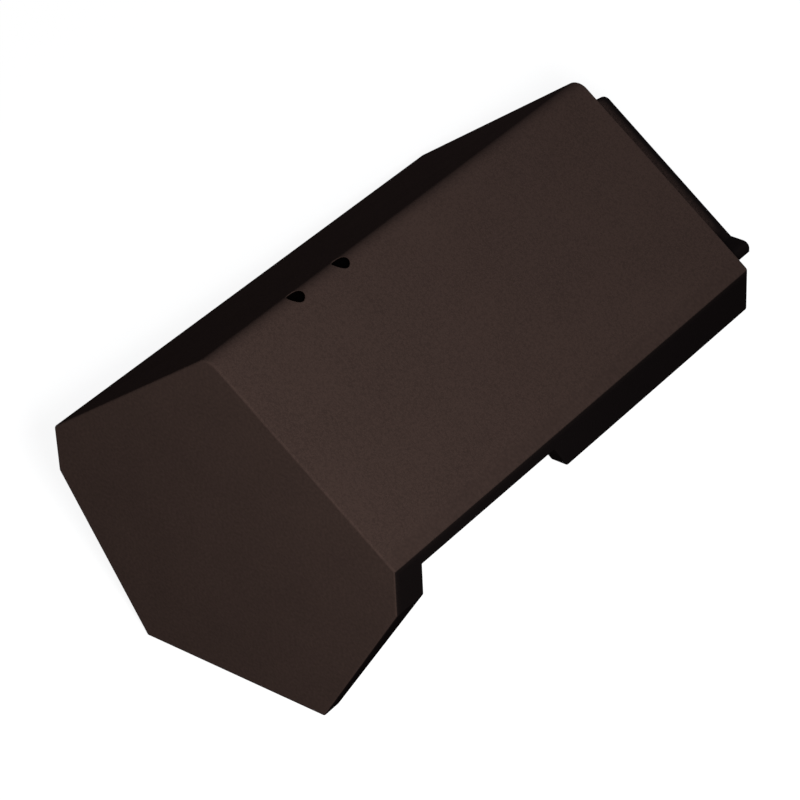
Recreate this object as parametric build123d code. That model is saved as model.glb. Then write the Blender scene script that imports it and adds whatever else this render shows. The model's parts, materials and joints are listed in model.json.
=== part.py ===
from build123d import *
import math
import os

os.makedirs("parts", exist_ok=True)

# A ridge end tile: the closed first tile of a ridge, cast in one piece.
# It is drawn as it lies on a roof: X across the ridge, Y back along it from the end face,
# and Z up, with Z = 0 at the arrises where the slopes meet the skirts.
# At the end it is pitched on to the level floor that it rests on when nothing holds it.

# Cover: two slopes over two upright skirts
cover_length = 400.0
eave_width = 273.0
slope_angle = 37.6
ridge_radius = 11.0
slope_wall = 14.0
skirt_wall = 12.5
skirt_depth = 33.0
inner_ridge_radius = 10.0

# Notch in each skirt, which clears the top tile of the verge
band_depth = 12.0
notch_back_top = 170.0
notch_back_bottom = 184.0

# End plate: seven-sided, thick beside the skirts and thinner at its foot
plate_thickness = 28.0
plate_side_drop = 34.5
plate_drop = 143.5
plate_foot_width = 146.5
plate_foot_thickness = 16.0

# Rebated tail, which the next ridge tile covers
tail_length = 32.5
tail_inset = 22.5
tail_wall = 10.0
tail_ridge_radius = 5.5
tail_root = 20.0
throat_length = 24.0
throat_land = 1.0

# Lip along each lower edge of the tail
lip_setback = 18.5
lip_top = -2.5
lip_bottom = -10.0
lip_radius = 5.0

# Two screw holes through the ridge
hole_diameter = 11.0
front_hole = 87.0
hole_spacing = 46.0
hole_mouth = 0.8

# Softened arrises, and the inside corner behind the end plate
arris = 1.5
tail_arris = 1.0
inside_radius = 6.0
eave_radius = 3.0

# How far a cut runs past the face it opens, and how near two places count as one
cut_past = 1.0
tolerance = 0.02

# Sizes that follow from the ones above
half_width = eave_width / 2
slope = math.radians(slope_angle)
ridge_height = half_width * math.tan(slope)
hollow_side = half_width - skirt_wall
throat_inset = tail_inset + tail_wall
throat_end = cover_length - tail_root
throat_start = throat_end - throat_length
tail_end = cover_length + tail_length
lip_side = half_width - lip_setback
hole_places = [front_hole, front_hole + hole_spacing]
clear_below = plate_drop + ridge_height


def slope_height(x, inset):
    """Height of the slope's surface at x, sunk square to the slope by inset."""
    return ridge_height - x * math.tan(slope) - inset / math.cos(slope)


def slope_place(z, inset):
    """Distance out from the ridge where the sunk slope comes down to z."""
    return (slope_height(0, inset) - z) / math.tan(slope)


def plate_half_width(z):
    """Half the end plate's width at one height below its sides."""
    share = max(0, -plate_side_drop - z) / (plate_drop - plate_side_drop)
    return half_width + share * (plate_foot_width / 2 - half_width)


def along_ridge(outline, start, end):
    """Solid of one cross-section between two places on the ridge."""
    across = Plane(origin=(0, end, 0), x_dir=(1, 0, 0), z_dir=(0, -1, 0))
    return extrude(across * outline, amount=end - start)


def across_tile(points):
    """Solid right through the tile, from a side view given in Y and Z."""
    side_view = Plane(origin=(-eave_width, 0, 0), x_dir=(0, 1, 0), z_dir=(1, 0, 0))
    return extrude(side_view * make_face(Polyline(points, close=True)), amount=2 * eave_width)


def rounded(outline, x, z, radius):
    """Outline with the corners at x and minus x rounded."""
    corners = [v for v in outline.vertices() if math.dist((abs(v.X), v.Y), (x, z)) < tolerance]
    return fillet(corners, radius)


def roof_outline(side, bottom, inset):
    """Closed outline of two slopes over upright sides."""
    shoulder = slope_height(side, inset)
    top = slope_height(0, inset)
    points = [(-side, bottom), (-side, shoulder), (0, top), (side, shoulder), (side, bottom)]
    return make_face(Polyline(points, close=True))


def cover_outline():
    """Outer cross-section of the cover, with the rounded ridge."""
    outline = roof_outline(half_width, -skirt_depth, 0)
    outline = rounded(outline, 0, ridge_height, ridge_radius)
    return rounded(outline, half_width, 0, eave_radius)


def plate_outline():
    """Face of the end plate: the cover's slopes and sides, then drawn in to the foot."""
    half_foot = plate_foot_width / 2
    points = [
        (0, ridge_height),
        (half_width, 0),
        (half_width, -plate_side_drop),
        (half_foot, -plate_drop),
        (-half_foot, -plate_drop),
        (-half_width, -plate_side_drop),
        (-half_width, 0),
    ]
    outline = make_face(Polyline(points, close=True))
    outline = rounded(outline, 0, ridge_height, ridge_radius)
    return rounded(outline, half_width, 0, eave_radius)


def throat_outline(side, inset, radius):
    """Cross-section of the hollow above the lips, for the cover or for the tail."""
    outline = roof_outline(side, lip_bottom, inset)
    return rounded(outline, 0, slope_height(0, inset), radius)


def plate_back(z):
    """How far the plate's back lies from its face, at one height."""
    taper = (plate_thickness - plate_foot_thickness) / (plate_drop - plate_side_drop)
    return plate_thickness + taper * min(0, z + plate_side_drop)


def end_plate():
    """Plate that closes the front, thinned from the back below the sides."""
    plate = along_ridge(plate_outline(), 0, plate_thickness)
    low = -plate_drop - plate_thickness
    points = [
        (plate_back(-plate_side_drop), -plate_side_drop),
        (2 * plate_thickness, -plate_side_drop),
        (2 * plate_thickness, low),
        (plate_back(low), low),
    ]
    return plate - across_tile(points)


def hollow():
    """Space under the cover: between the skirts, under the slopes, and through the tail."""
    tail_side = slope_place(lip_bottom, throat_inset) - throat_land
    wide = throat_outline(hollow_side, slope_wall, inner_ridge_radius)
    narrow = throat_outline(tail_side, throat_inset, inner_ridge_radius)
    between_skirts = Box(
        2 * hollow_side,
        tail_end + cut_past - plate_thickness,
        clear_below,
        align=(Align.CENTER, Align.MIN, Align.MAX),
    )
    start_plane = Plane(origin=(0, throat_start, 0), x_dir=(1, 0, 0), z_dir=(0, -1, 0))
    end_plane = Plane(origin=(0, throat_end, 0), x_dir=(1, 0, 0), z_dir=(0, -1, 0))
    throat = loft([start_plane * wide, end_plane * narrow], ruled=True)
    room = Pos(0, plate_thickness, lip_bottom) * between_skirts
    room += along_ridge(wide, plate_thickness, throat_start)
    room += throat
    room += along_ridge(narrow, throat_end, tail_end + cut_past)
    front = room.faces().sort_by(Axis.Y)[0]
    below = front.edges().sort_by(Axis.Z)[0]
    return fillet([edge for edge in front.edges() if edge != below], inside_radius)


def tail():
    """Lowered tail with a lip turned out along each lower edge."""
    top = slope_height(0, tail_inset)
    turn = slope_place(lip_top, tail_inset)
    points = [
        (-lip_side, lip_bottom),
        (-lip_side, lip_top),
        (-turn, lip_top),
        (0, top),
        (turn, lip_top),
        (lip_side, lip_top),
        (lip_side, lip_bottom),
    ]
    outline = make_face(Polyline(points, close=True))
    outline = rounded(outline, 0, top, tail_ridge_radius)
    outline = rounded(outline, lip_side, lip_top, lip_radius)
    return along_ridge(outline, throat_end, tail_end)


def notches():
    """Cut that shortens both skirts behind the end plate, with a slanted back end."""
    slant = (notch_back_bottom - notch_back_top) / (skirt_depth - band_depth)
    low = skirt_depth * 2
    points = [
        (plate_thickness, -band_depth),
        (notch_back_top, -band_depth),
        (notch_back_top + slant * (low - band_depth), -low),
        (plate_thickness, -low),
    ]
    return across_tile(points)


def near(one, other):
    """True where two places count as one."""
    return abs(one - other) < tolerance


def on_face_rim(p):
    """Rim of the end plate's face."""
    return near(p.Y, 0)


def on_plate_back_rim(p):
    """Rim of the end plate's back, below the band."""
    outside = near(p.Z, -plate_drop) or near(abs(p.X), plate_half_width(p.Z))
    return near(p.Y, plate_back(p.Z)) and outside and p.Z < tolerance - band_depth


def on_plate_corner(p):
    """Corners where the end plate's sides turn in, and where they meet its foot."""
    turn = near(p.Z, -plate_side_drop) and near(abs(p.X), half_width)
    return turn or near(p.Z, -plate_drop) and near(abs(p.X), plate_foot_width / 2)


def on_cover_rim(p):
    """Outer rim of the cover's back end."""
    outside = near(abs(p.X), half_width) or p.Z > slope_height(abs(p.X), slope_wall / 2)
    return near(p.Y, cover_length) and (outside or near(p.Z, -skirt_depth))


def on_skirt_foot(p):
    """Rim of the skirts' undersides."""
    return near(p.Z, -skirt_depth)


def on_notch_rim(p):
    """Outer rim of the notches, along the band and up the skirts' slanted ends."""
    rise = (p.Z + band_depth) / (band_depth - skirt_depth)
    slant = notch_back_top + rise * (notch_back_bottom - notch_back_top)
    along_band = near(p.Z, -band_depth) and p.Y > plate_thickness - tolerance
    return near(abs(p.X), half_width) and (along_band or near(p.Y, slant))


def on_hole_mouth(p):
    """Upper rim of each screw hole."""
    away = min(math.dist((p.X, p.Y), (0, y)) for y in hole_places)
    return near(away, hole_diameter / 2) and p.Z > slope_height(0, slope_wall / 2)


def edges_on(tile, tests):
    """Edges of the tile whose ends and middle all pass one of the tests."""
    found = []
    for edge in tile.edges():
        points = [edge.position_at(share) for share in (0, 0.5, 1)]
        if any(all(test(p) for p in points) for test in tests):
            found.append(edge)
    return found


def softened(tile):
    """Tile with its outer arrises rounded, and then the tail's more finely."""
    plate_rims = [on_face_rim, on_plate_back_rim, on_plate_corner]
    cover_rims = [on_cover_rim, on_skirt_foot, on_notch_rim]
    tile = fillet(edges_on(tile, plate_rims + cover_rims), arris)
    return fillet(tile.faces().sort_by(Axis.Y)[-1].edges(), tail_arris)


def screw_holes():
    """Upright holes through the ridge."""
    drill = Cylinder(hole_diameter / 2, ridge_height, align=(Align.CENTER, Align.CENTER, Align.MIN))
    return [Pos(0, y, 0) * drill for y in hole_places]


def ridge_end_tile():
    """The whole tile, as it lies on the roof."""
    cover = along_ridge(cover_outline(), plate_thickness, cover_length) + tail()
    cover = cover - hollow() - notches()
    tile = softened(cover + end_plate())
    for hole in screw_holes():
        tile -= hole
    return fillet(edges_on(tile, [on_hole_mouth]), hole_mouth)


def at_rest(tile):
    """Tile pitched back on to the floor, standing on the plate's foot and the skirts' back ends."""
    reach = cover_length - plate_foot_thickness
    pitch = math.degrees(math.atan2(plate_drop - skirt_depth, reach))
    pitched = Rot(-pitch, 0, 0) * tile
    box = pitched.bounding_box()
    return Pos(0, -(box.min.Y + box.max.Y) / 2, -box.min.Z) * pitched


tile = at_rest(ridge_end_tile())
tile.label = "ridge_end_tile"
export_step(tile, "parts/ridge_end_tile.step")
print("volume, litres:", round(tile.volume / 1e6, 3))
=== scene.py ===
# %% [markdown]
# # A ridge end tile of coated concrete
#
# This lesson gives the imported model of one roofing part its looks: the closed first tile of a
# ridge. The real tile is a single casting, so there is nothing to put together, and its shape is
# already right. The work is in the surface of the concrete, and in a camera and a light that show
# it as a catalogue picture does.
#
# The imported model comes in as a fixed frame, in metres. Nothing here moves or resizes it.

# %% Load the frame
import json
import math

import bpy
from mathutils import Matrix, Vector

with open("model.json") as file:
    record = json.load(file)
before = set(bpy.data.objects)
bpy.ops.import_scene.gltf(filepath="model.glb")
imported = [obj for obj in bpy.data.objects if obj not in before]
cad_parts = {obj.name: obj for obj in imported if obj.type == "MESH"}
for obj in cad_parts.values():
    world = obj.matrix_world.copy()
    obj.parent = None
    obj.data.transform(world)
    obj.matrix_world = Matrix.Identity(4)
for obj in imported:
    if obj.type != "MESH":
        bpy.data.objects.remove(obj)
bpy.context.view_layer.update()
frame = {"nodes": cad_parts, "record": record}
tile = frame["nodes"]["ridge_end_tile"]

# %% [markdown]
# ## The tile's own axes
#
# Unheld, the tile lies pitched back on the floor, on the foot of its end plate and the ends of
# its two skirts. Its finish, the camera and the lamps follow the tile and not the floor, so the
# script needs the tile's own axes: across the ridge, along it, and square up from it. They could
# be typed in as angles, but the record's mounts already hold them: a screw hole points along the
# tile's up, and the end of the cover faces along the ridge. Zero is at the outer face of the end
# plate, under the ridge, level with the eaves.

# %% Axes of the tile
mounts = {mount["name"]: mount for mount in frame["record"]["mounts"]}
across = Vector((1, 0, 0))
along = Vector(mounts["cover_end"]["axis"]).normalized()
upward = Vector(mounts["front_screw_hole"]["axis"]).normalized()

cover_length = 0.400
cover_end_mount_drop = 0.020
roof_origin = Vector(mounts["cover_end"]["pos_m"]) - along * cover_length + upward * cover_end_mount_drop
roof_origin.x = 0

roof_axes = Matrix((across, along, upward)).transposed()
roof_frame = Matrix.Translation(roof_origin) @ roof_axes.to_4x4()
print("pitch of the ridge, degrees:", round(math.degrees(math.asin(upward.y)), 2))

# %% [markdown]
# ## The camera
#
# A long lens far away keeps the ridge and the eaves almost parallel, as in a catalogue picture.
# The camera could be turned until it looks right by eye. Here its place is an azimuth, an
# elevation and a roll about the tile's own axes, with a distance and a small sideways step, so
# that each of them can be matched to the picture by itself.

# %% Camera
camera_azimuth = math.radians(38.21)
camera_elevation = math.radians(35.11)
camera_roll = math.radians(-2.78)
camera_distance = 2.2659
camera_side_step = 0.01507
camera_up_step = -0.01845
aim_along_ridge = 0.1638
picture_width = 800
focal_pixels = 3475
sensor_width = 36.0
nearest_seen = 0.05
furthest_seen = 50.0


def place_camera():
    """Camera at the picture's viewing angle."""
    back = Vector((
        math.sin(camera_azimuth) * math.cos(camera_elevation),
        -math.cos(camera_azimuth) * math.cos(camera_elevation),
        math.sin(camera_elevation),
    ))
    level = Vector((0, 0, 1)).cross(back).normalized()
    right = Matrix.Rotation(camera_roll, 3, back) @ level
    top = back.cross(right)
    aim = Vector((0, aim_along_ridge, 0))
    spot = aim + back * camera_distance + right * camera_side_step + top * camera_up_step
    turn = Matrix((right, top, back)).transposed().to_4x4()
    data = bpy.data.cameras.new("camera")
    data.sensor_width = sensor_width
    data.lens = sensor_width * focal_pixels / picture_width
    data.clip_start = nearest_seen
    data.clip_end = furthest_seen
    placed = bpy.data.objects.new("camera", data)
    placed.matrix_world = roof_frame @ Matrix.Translation(spot) @ turn
    bpy.context.scene.collection.objects.link(placed)
    return placed


camera = place_camera()
bpy.context.scene.camera = camera
print("lens, mm:", round(camera.data.lens, 1))
print("camera at, metres:", [round(v, 3) for v in camera.matrix_world.translation])

# %% [markdown]
# ## Colours and nodes
#
# Colours are written as sRGB hex, as a colour picker shows them, but Blender works in linear
# light, so one function turns the first into the second. Another adds a node with its settings
# and links. A value that is itself a node is linked by its first output that is in use, which
# lets a material be read from its lines in order, like a recipe. Settings that many nodes share
# are written once, under a name.

# %% Helpers for colours and nodes
multiply = {"operation": "MULTIPLY"}
maximum = {"operation": "MAXIMUM"}
smooth = {"interpolation_type": "SMOOTHSTEP"}
blend_colours = {"data_type": "RGBA"}


def srgb(code):
    """Linear colour with alpha, from an sRGB hex code."""
    shares = [int(code[i:i + 2], 16) / 255 for i in (1, 3, 5)]
    linear = [v / 12.92 if v <= 0.04045 else ((v + 0.055) / 1.055) ** 2.4 for v in shares]
    return (*linear, 1)


def add_node(tree, kind, settings=None, **inputs):
    """New shader node, with its settings. Its inputs are values, nodes or outputs, by identifier."""
    node = tree.nodes.new("ShaderNode" + kind)
    for name, value in (settings or {}).items():
        setattr(node, name, value)
    sockets = {socket.identifier.replace(" ", "_"): socket for socket in node.inputs}
    for name, value in inputs.items():
        if isinstance(value, bpy.types.Node):
            value = next(output for output in value.outputs if output.enabled)
        if isinstance(value, bpy.types.NodeSocket):
            tree.links.new(value, sockets[name])
        else:
            sockets[name].default_value = value
    return node


def new_material(name):
    """Empty node material."""
    material = bpy.data.materials.new(name)
    material.use_nodes = True
    material.node_tree.nodes.clear()
    return material


print("mid grey #808080 is", round(srgb("#808080")[0], 3), "in linear light")

# %% [markdown]
# ## Where each finish lies
#
# A concrete ridge tile is pressed from semi-dry sand and cement and then sprayed. Here a black
# base coat covers the outside, and a brown top coat goes over it. The brown is sprayed from above
# and from the front, so it lands on the two slopes and on the face of the end plate. It thins out
# over the lowered tail, and it misses the upright skirts, the sides of the plate and the tail's
# lips. The black that shows there is painted shade: it makes those faces as dark as faces in deep
# shade. The inside, the underside and the ends that look back stay bare.
#
# The three could be painted on as separate pieces or as vertex colours. But a spray lands by
# which way a face looks, so the material asks just that: it takes the surface's normal and place
# in the tile's own axes. The softened arrises then fade from one coat to the other, as sprayed
# ones do. A face's share of up is 1 where it lies level, 0.79 on the slopes and 0 where it stands
# upright. Other faces that look forward, such as the back ends of the notches, are sheltered from
# the spray, so the coat of the end plate's face stops a few millimetres behind it.

# %% Faces that the brown coat reaches
to_tile = roof_frame.inverted()
up_none = 0.12
up_full = 0.45
ahead_none = -0.45
ahead_full = -0.8
spray_edge = 0.0005
face_coat_full = 0.003
face_coat_end = 0.006


def tile_coordinates(tree):
    """Place and facing of the surface in the tile's axes, as two vectors."""
    source = add_node(tree, "TexCoord")
    turn = to_tile.to_euler()
    place = add_node(
        tree, "Mapping", Vector=source.outputs["Object"], Location=to_tile.translation, Rotation=turn
    )
    facing = add_node(
        tree, "Mapping", {"vector_type": "VECTOR"}, Vector=source.outputs["Normal"], Rotation=turn
    )
    return place, facing


def brown_share(tree, place, facing):
    """1 where the brown coat is full, 0 where it doesn't land, where the black painted shade or bare
    concrete shows.
    """
    spot = add_node(tree, "SeparateXYZ", Vector=place).outputs
    side = add_node(tree, "SeparateXYZ", Vector=facing).outputs
    looks_up = add_node(tree, "MapRange", smooth, Value=side["Z"], From_Min=up_none, From_Max=up_full)
    on_cover = add_node(
        tree, "MapRange", smooth, Value=spot["Y"],
        From_Min=cover_length + spray_edge, From_Max=cover_length - spray_edge,
    )
    slopes = add_node(tree, "Math", multiply, Value=looks_up, Value_001=on_cover)
    looks_ahead = add_node(
        tree, "MapRange", smooth, Value=side["Y"], From_Min=ahead_none, From_Max=ahead_full
    )
    at_front = add_node(
        tree, "MapRange", smooth, Value=spot["Y"], From_Min=face_coat_end, From_Max=face_coat_full
    )
    face = add_node(tree, "Math", multiply, Value=looks_ahead, Value_001=at_front)
    return add_node(tree, "Math", maximum, Value=slopes, Value_001=face)


print("brown coat ends", round(1000 * cover_length), "mm along the ridge")

# %% [markdown]
# The edge of a sprayed coat is never sharp: a mist of droplets drifts past it. A thin one gets
# 5 mm down the skirts and 5 mm back along the sides of the plate. Over the tail it is dense as
# far as 20 mm behind the cover and gone at 29 mm, so the outer end of the tail shows the black
# painted shade, and the lips lie too low to catch any. The droplets are far finer than a pixel,
# so they are drawn as specks of about 1 mm.
#
# What faces out, away from the middle of the tile, is found by multiplying two numbers: how far
# off the middle a point lies, and how much its face looks sideways. The result is in metres.

# %% Mist at the edge of the spray
tail_mist_full = 0.020
tail_mist_end = 0.029
lip_mist_limit = 0.008
side_mist_reach = 0.005
side_mist_share = 0.1
outward_none = 0.04
outward_full = 0.09
speck_size = 0.001
speck_thin = 0.5
speck_thick = 1.5
speck_detail = 1.0
noise_low = 0.3
noise_high = 0.7


def outward_facing(tree, spot, side):
    """Distance off the middle times the sideways share of the facing: below 0 on the inside."""
    return add_node(tree, "Math", multiply, Value=spot["X"], Value_001=side["X"])


def mist_share(tree, place, facing):
    """Share of the surface that stray brown droplets cover, past the edge of the coat."""
    spot = add_node(tree, "SeparateXYZ", Vector=place).outputs
    side = add_node(tree, "SeparateXYZ", Vector=facing).outputs
    looks_up = add_node(tree, "MapRange", smooth, Value=side["Z"], From_Min=up_none, From_Max=up_full)
    over_tail = add_node(
        tree, "MapRange", Value=spot["Y"],
        From_Min=cover_length + tail_mist_end, From_Max=cover_length + tail_mist_full,
    )
    above_lips = add_node(tree, "MapRange", Value=spot["Z"], From_Min=0.0, From_Max=lip_mist_limit)
    tail = add_node(tree, "Math", multiply, Value=looks_up, Value_001=over_tail)
    tail = add_node(tree, "Math", multiply, Value=tail, Value_001=above_lips)
    looks_out = add_node(
        tree, "MapRange", smooth, Value=outward_facing(tree, spot, side),
        From_Min=outward_none, From_Max=outward_full,
    )
    under_eave = add_node(
        tree, "MapRange", Value=spot["Z"], From_Min=-side_mist_reach, From_Max=0, To_Max=side_mist_share
    )
    behind_face = add_node(
        tree, "MapRange", Value=spot["Y"], From_Min=side_mist_reach, From_Max=0, To_Max=side_mist_share
    )
    near_edge = add_node(tree, "Math", maximum, Value=under_eave, Value_001=behind_face)
    sides = add_node(tree, "Math", multiply, Value=looks_out, Value_001=near_edge)
    mist = add_node(tree, "Math", maximum, Value=tail, Value_001=sides)
    specks = add_node(tree, "TexNoise", Vector=place, Scale=1 / speck_size, Detail=speck_detail)
    specks = add_node(
        tree, "MapRange", Value=specks,
        From_Min=noise_low, From_Max=noise_high, To_Min=speck_thin, To_Max=speck_thick,
    )
    return add_node(tree, "Math", multiply, Value=mist, Value_001=specks)


print("mist ends", round(1000 * tail_mist_end), "mm behind the cover")

# %% [markdown]
# The bare faces are those that look down, those that look in towards the middle of the tile, and
# those that look back: the end of the cover, the end of the tail and the back of the plate. In
# use they lie over the battens or under the next tile, so they need no coat. The picture hides
# them all, so this is a guess from how such tiles are made. Where the hollow narrows towards the
# tail, its faces look forward. They are bare too, and nothing on the outside that far back looks
# forward.

# %% Faces left bare
down_none = -0.6
down_full = -0.74
inward_none = -0.03
inward_full = -0.07
back_none = 0.78
back_full = 0.95
lean_none = -0.2
lean_full = -0.4
throat_from = 0.3


def bare_share(tree, place, facing):
    """1 on the uncoated inside, underside and ends, 0 on the coated outside."""
    spot = add_node(tree, "SeparateXYZ", Vector=place).outputs
    side = add_node(tree, "SeparateXYZ", Vector=facing).outputs
    looks_down = add_node(
        tree, "MapRange", smooth, Value=side["Z"], From_Min=down_none, From_Max=down_full
    )
    looks_in = add_node(
        tree, "MapRange", smooth, Value=outward_facing(tree, spot, side),
        From_Min=inward_none, From_Max=inward_full,
    )
    looks_back = add_node(
        tree, "MapRange", smooth, Value=side["Y"], From_Min=back_none, From_Max=back_full
    )
    leans = add_node(tree, "MapRange", smooth, Value=side["Y"], From_Min=lean_none, From_Max=lean_full)
    far_back = add_node(
        tree, "Math", {"operation": "GREATER_THAN"}, Value=spot["Y"], Value_001=throat_from
    )
    throat = add_node(tree, "Math", multiply, Value=leans, Value_001=far_back)
    bare = add_node(tree, "Math", maximum, Value=looks_down, Value_001=looks_in)
    bare = add_node(tree, "Math", maximum, Value=bare, Value_001=looks_back)
    return add_node(tree, "Math", maximum, Value=bare, Value_001=throat)


print("inner walls are fully bare from", round(-1000 * inward_full), "mm off the middle")

# %% [markdown]
# The two screw holes are narrow and deep. No brown gets into them, and their walls are painted
# near-black as painted shade, for the dark inside a deep hole. The record gives their places.
# Both are covered at once, by measuring from the point halfway between them.

# %% Walls of the screw holes
hole_radius = mounts["front_screw_hole"]["dims"]["r_mm"] / 1000
front_hole = to_tile @ Vector(mounts["front_screw_hole"]["pos_m"])
back_hole = to_tile @ Vector(mounts["back_screw_hole"]["pos_m"])
hole_middle = (front_hole.y + back_hole.y) / 2
hole_half_spacing = (back_hole.y - front_hole.y) / 2
hole_shade_full = 0.0002
hole_shade_end = 0.0006


def hole_shade_share(tree, place):
    """1 on the walls of the screw holes, where painted shade goes, 0 elsewhere."""
    spot = add_node(tree, "SeparateXYZ", Vector=place).outputs
    from_middle = add_node(
        tree, "Math", {"operation": "SUBTRACT"}, Value=spot["Y"], Value_001=hole_middle
    )
    either_way = add_node(tree, "Math", {"operation": "ABSOLUTE"}, Value=from_middle)
    from_hole = add_node(
        tree, "Math", {"operation": "SUBTRACT"}, Value=either_way, Value_001=hole_half_spacing
    )
    flat = add_node(tree, "CombineXYZ", X=spot["X"], Y=from_hole)
    away = add_node(tree, "VectorMath", {"operation": "LENGTH"}, Vector=flat).outputs["Value"]
    return add_node(
        tree, "MapRange", smooth, Value=away,
        From_Min=hole_radius + hole_shade_end, From_Max=hole_radius + hole_shade_full,
    )


print("screw holes, metres along the ridge:", round(front_hole.y, 4), round(back_hole.y, 4))

# %% [markdown]
# ## Colour of the concrete
#
# The brown coat is a thin layer of pigment over black, so it is never quite even: it is a little
# thinner in clouds a few centimetres wide, and in the hollows between the sand grains. The colour
# is therefore one brown over one black, and what varies is how much of it there is. Real sand
# grains are 0.5 to 1 mm, about a pixel here, and are drawn at 2.2 mm so that they show at all.
# Bare concrete varies more: cement paste gathers in paler clouds, and some grains stand out pale.

# %% Colours and how they vary
coat_brown = "#433530"
# The black shows thinly between the brown grains, and alone on the skirts, plate sides and tail, where it
# is painted shade.
grain_black_and_painted_shade = "#151111"
hole_painted_shade = "#030202"
bare_dark = "#625C56"
bare_pale = "#857E77"
cloud_size = 0.045
cloud_detail = 5.0
cloud_roughness = 0.65
grain_size = 0.0022
grain_detail = 2.0
cloud_thin = 0.88
grain_thin = 0.76
bare_cloud_weight = 0.7
bare_grain_weight = 0.5


def concrete_colour(tree, place, brown, bare, holes):
    """Colour of the three finishes, with painted shade as black where no brown lands and in the screw
    holes.
    """
    clouds = add_node(
        tree, "TexNoise", Vector=place,
        Scale=1 / cloud_size, Detail=cloud_detail, Roughness=cloud_roughness,
    )
    grains = add_node(tree, "TexNoise", Vector=place, Scale=1 / grain_size, Detail=grain_detail)
    thick = add_node(
        tree, "MapRange", Value=clouds, From_Min=noise_low, From_Max=noise_high, To_Min=cloud_thin
    )
    covered = add_node(
        tree, "MapRange", Value=grains, From_Min=noise_low, From_Max=noise_high, To_Min=grain_thin
    )
    coat = add_node(tree, "Math", multiply, Value=thick, Value_001=covered)
    coat = add_node(
        tree, "Math", {"operation": "MULTIPLY", "use_clamp": True}, Value=coat, Value_001=brown
    )
    # Where no brown lands, the black is painted shade.
    coated = add_node(
        tree, "Mix", blend_colours, Factor_Float=coat, A_Color=srgb(grain_black_and_painted_shade), B_Color=srgb(coat_brown)
    )
    # Average noise then gives the colour halfway between the two.
    even_share = 0.5 - bare_cloud_weight / 2 - bare_grain_weight / 2
    pale_grains = add_node(
        tree, "Math", {"operation": "MULTIPLY_ADD"},
        Value=grains, Value_001=bare_grain_weight, Value_002=even_share,
    )
    pale = add_node(
        tree, "Math", {"operation": "MULTIPLY_ADD", "use_clamp": True},
        Value=clouds, Value_001=bare_cloud_weight, Value_002=pale_grains,
    )
    cement = add_node(
        tree, "Mix", blend_colours, Factor_Float=pale, A_Color=srgb(bare_dark), B_Color=srgb(bare_pale)
    )
    finish = add_node(tree, "Mix", blend_colours, Factor_Float=bare, A_Color=coated, B_Color=cement)
    # The walls of the screw holes get painted shade, near-black.
    return add_node(
        tree, "Mix", blend_colours, Factor_Float=holes, A_Color=finish, B_Color=srgb(hole_painted_shade)
    )


print("brown coat in linear light:", [round(v, 3) for v in srgb(coat_brown)[:3]])

# %% [markdown]
# ## Relief of the concrete
#
# Three kinds of relief are too shallow to be worth geometry, and are bump. The sand gives a fine
# even tooth. The press leaves the faces very slightly uneven over 2 to 3 cm, which a low light
# picks out. And air trapped against the mould leaves round pits a millimetre or two across, which
# the coats fill on the outside and which stay open on the bare inside. A pit lies in the middle
# of a cell of a Voronoi pattern. Its size goes by the cell's random colour, and three cells in ten
# have none.

# %% Tooth, unevenness and pits
tooth_height = 0.00012
coat_fill = 0.75
press_wave = 0.025
press_height = 0.00012
press_detail = 1.0
pit_spacing = 0.007
pit_depth = 0.0006
pit_radius_share = 0.18
pitless_share = 0.3


def concrete_relief(tree, place, brown, bare):
    """Bumped normal of the surface, and the pits as a share."""
    grains = add_node(tree, "TexNoise", Vector=place, Scale=1 / grain_size, Detail=grain_detail)
    tooth_left = add_node(tree, "MapRange", Value=brown, To_Min=1.0, To_Max=1 - coat_fill)
    tooth = add_node(tree, "Bump", Height=grains, Distance=tooth_height, Strength=tooth_left)
    waves = add_node(tree, "TexNoise", Vector=place, Scale=1 / press_wave, Detail=press_detail)
    uneven = add_node(tree, "Bump", Height=waves, Distance=press_height, Normal=tooth)
    cells = add_node(tree, "TexVoronoi", Vector=place, Scale=1 / pit_spacing)
    chance = add_node(tree, "SeparateColor", Color=cells.outputs["Color"])
    radius = add_node(
        tree, "MapRange", Value=chance, From_Min=pitless_share, From_Max=1.0, To_Max=pit_radius_share
    )
    hollow = add_node(
        tree, "MapRange", smooth, Value=cells.outputs["Distance"], From_Min=radius, From_Max=0.0
    )
    pits = add_node(tree, "Math", multiply, Value=hollow, Value_001=bare)
    pitted = add_node(tree, "Bump", {"invert": True}, Height=pits, Distance=pit_depth, Normal=uneven)
    return pitted, pits


print("widest pit, mm:", round(2000 * pit_spacing * pit_radius_share, 1))

# %% [markdown]
# ## The whole material
#
# Name: cast concrete with a sprayed acrylic coat. The coat is a dispersion paint full of pigment
# and fine filler, which dries dead flat. The picture shows no shine on it, even where the eye
# glances along the left slope, so its gloss level is zero and its roughness is 0.88. Cement and
# acrylic both have an IOR near 1.5. The bare faces are rougher still.

# %% Coated concrete
acrylic_ior = 1.5
coat_roughness = 0.88
bare_roughness = 0.95
flat_coat_gloss = 0.0
pit_shade = 0.45


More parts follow.
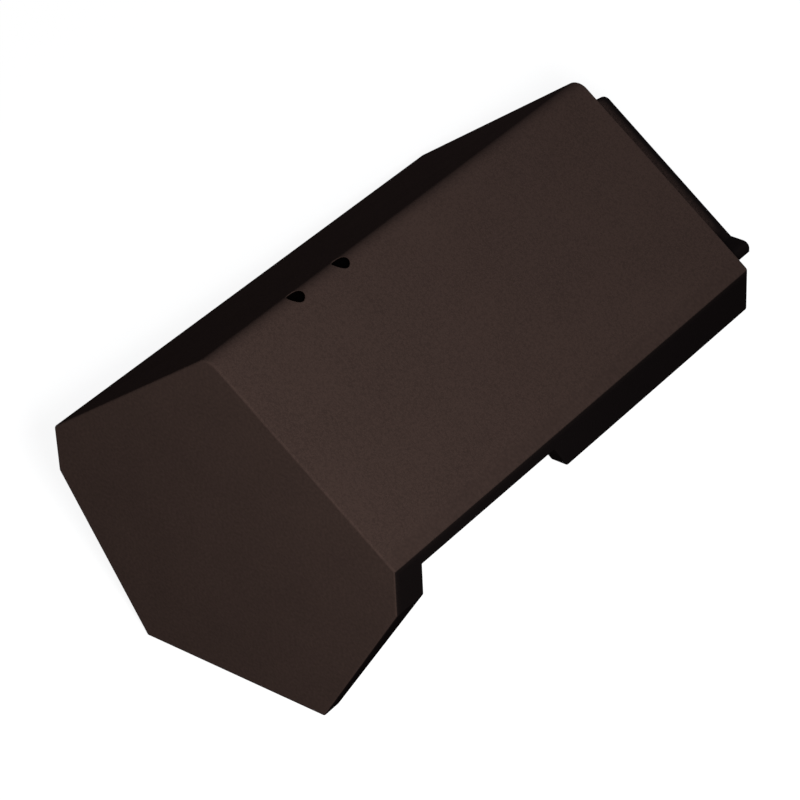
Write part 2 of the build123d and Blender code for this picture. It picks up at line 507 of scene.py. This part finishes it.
def coated_concrete():
    """Cast concrete: brown over black on the outside, with the black as painted shade where no brown lands,
    and bare inside.
    """
    material = new_material("cast_concrete_with_sprayed_coat")
    tree = material.node_tree
    place, facing = tile_coordinates(tree)
    full = brown_share(tree, place, facing)
    mist = mist_share(tree, place, facing)
    brown = add_node(tree, "Math", maximum, Value=full, Value_001=mist)
    bare = bare_share(tree, place, facing)
    colour = concrete_colour(tree, place, brown, bare, hole_shade_share(tree, place))
    relief, pits = concrete_relief(tree, place, brown, bare)
    # The pits' colour is darkened as well: painted shade in their hollows.
    shaded = add_node(tree, "MapRange", Value=pits, To_Min=1.0, To_Max=pit_shade)
    colour = add_node(
        tree, "Mix", {"data_type": "RGBA", "blend_type": "MULTIPLY"},
        Factor_Float=1.0, A_Color=colour, B_Color=shaded,
    )
    roughness = add_node(tree, "MapRange", Value=bare, To_Min=coat_roughness, To_Max=bare_roughness)
    shader = add_node(
        tree, "BsdfPrincipled", Base_Color=colour, Roughness=roughness, Normal=relief,
        IOR=acrylic_ior, Specular_IOR_Level=flat_coat_gloss,
    )
    add_node(tree, "OutputMaterial", Surface=shader)
    return material


concrete = coated_concrete()
tile.data.materials.clear()
tile.data.materials.append(concrete)
print("tile:", len(tile.data.vertices), "vertices,", len(concrete.node_tree.nodes), "nodes in its material")

# %% [markdown]
# ## The floor
#
# The picture's ground is plain white. A floor lit until it turns white would throw that much
# light back at the tile and grey its black faces. So the floor has two looks. To the camera, and
# in any mirror or glass, it is nearly as bright as it can be before any light falls on it, and
# the lamp lifts it the rest of the way, which leaves a faint shadow beside the tile. Beyond the
# shadow's reach it is white by itself. To the light that bounces about, it is a plain pale floor.
# Its back is clear, so that the tile can also be looked at from below.

# %% Floor
white = "#FFFFFF"
floor_pale = "#A0A0A0"
shadow_lift = "#898989"
full_white = 1.0
shadow_ground = 0.91
shadow_fades_from = 0.35
shadow_gone_at = 0.65
floor_half_size = 15.0


def seen_directly(tree):
    """1 for what the camera, a mirror or glass shows, and 0 for what lights the object."""
    path = add_node(tree, "LightPath").outputs
    either = add_node(
        tree, "Math", maximum, Value=path["Is Camera Ray"], Value_001=path["Is Glossy Ray"]
    )
    return add_node(tree, "Math", maximum, Value=either, Value_001=path["Is Transmission Ray"])


def floor_finish():
    """Matt white ground with a faint shadow, as the camera sees it, and pale to other light."""
    material = new_material("matt_white_floor")
    tree = material.node_tree
    place = add_node(tree, "TexCoord").outputs["Object"]
    away = add_node(tree, "VectorMath", {"operation": "LENGTH"}, Vector=place).outputs["Value"]
    open_ground = add_node(
        tree, "MapRange", smooth, Value=away, From_Min=shadow_fades_from, From_Max=shadow_gone_at
    )
    glow = add_node(tree, "Emission", Color=srgb(white), Strength=shadow_ground)
    lit = add_node(tree, "BsdfDiffuse", Color=srgb(shadow_lift))
    near = add_node(tree, "AddShader", Shader=glow, Shader_001=lit)
    far = add_node(tree, "Emission", Color=srgb(white), Strength=full_white)
    shown = add_node(tree, "MixShader", Fac=open_ground, Shader=near, Shader_001=far)
    pale = add_node(tree, "BsdfDiffuse", Color=srgb(floor_pale))
    top = add_node(tree, "MixShader", Fac=seen_directly(tree), Shader=pale, Shader_001=shown)
    clear = add_node(tree, "BsdfTransparent")
    behind = add_node(tree, "NewGeometry").outputs["Backfacing"]
    whole = add_node(tree, "MixShader", Fac=behind, Shader=top, Shader_001=clear)
    add_node(tree, "OutputMaterial", Surface=whole)
    return material


def make_floor():
    """Level floor under the tile, which is no part of it."""
    h = floor_half_size
    mesh = bpy.data.meshes.new("floor")
    mesh.from_pydata([(-h, -h, 0), (h, -h, 0), (h, h, 0), (-h, h, 0)], [], [(0, 1, 2, 3)])
    mesh.materials.append(floor_finish())
    ground = bpy.data.objects.new("floor", mesh)
    bpy.context.scene.collection.objects.link(ground)
    return ground


floor = make_floor()
print("floor, metres:", [round(v, 1) for v in floor.dimensions[:2]])

# %% [markdown]
# ## The light
#
# In the picture the right slope and the end plate are lit almost alike, the slope grows a little
# darker towards its back end, and the left slope is nearly black. One lamp does all three. It
# stands in front of the tile to the right, close enough that the back end gets less of its light,
# and level with the plane of the left slope, which it only grazes. A large soft box there would
# reach over the ridge, so the lamp is a small one, 0.25 m wide, and its shadows are still soft at
# the size of the tile. Its power follows from the coat: the front of the slope renders at about
# the colour that the coat is written in.
#
# A second, gentle lamp stands behind the tile, low over the floor. The faces that look back get
# their light from it, and both slopes get a little, so that someone who walks round the tile can
# read its shapes. Its light is slightly cool, and so is the room's, because the picture's shaded
# faces lean to blue beside the lit ones.

# %% Lamps
fill_colour = "#E8EEFF"
key_direction = (0.586, -0.62, 0.522)
key_distance = 1.6
key_size = 0.25
key_power = 21.7
rear_direction = (0.0, 0.93, 0.37)
rear_distance = 1.8
rear_size = 0.5
rear_power = 7.0


def add_lamp(name, toward, distance, size, power, colour):
    """Square lamp that looks at the tile's middle from a direction given in the tile's axes."""
    data = bpy.data.lights.new(name, "AREA")
    data.size = size
    data.energy = power
    data.color = srgb(colour)[:3]
    lamp = bpy.data.objects.new(name, data)
    aim = roof_frame @ Vector((0, cover_length / 2, 0))
    back = (roof_axes @ Vector(toward)).normalized()
    lamp.location = aim + back * distance
    lamp.rotation_euler = back.to_track_quat("Z", "Y").to_euler()
    bpy.context.scene.collection.objects.link(lamp)
    print(name, "stands at", [round(v, 2) for v in lamp.location], "metres")


add_lamp("key_lamp", key_direction, key_distance, key_size, key_power, white)
add_lamp("rear_lamp", rear_direction, rear_distance, rear_size, rear_power, fill_colour)

# %% [markdown]
# The room itself gives a little light from all round. It gets to faces that no lamp does, such as
# most of those inside the hollow. As with the floor, the camera sees white there instead.

# %% Room light
room_light = 0.08


def light_room():
    """World that lights the tile dimly and shows as white."""
    world = bpy.data.worlds.new("room")
    world.use_nodes = True
    tree = world.node_tree
    tree.nodes.clear()
    dim = add_node(tree, "Background", Color=srgb(fill_colour), Strength=room_light)
    bright = add_node(tree, "Background", Color=srgb(white), Strength=full_white)
    shown = add_node(tree, "MixShader", Fac=seen_directly(tree), Shader=dim, Shader_001=bright)
    add_node(tree, "OutputWorld", Surface=shown)
    return world


bpy.context.scene.world = light_room()
bpy.context.scene.view_settings.view_transform = "Standard"
print("room light:", room_light, "of white")
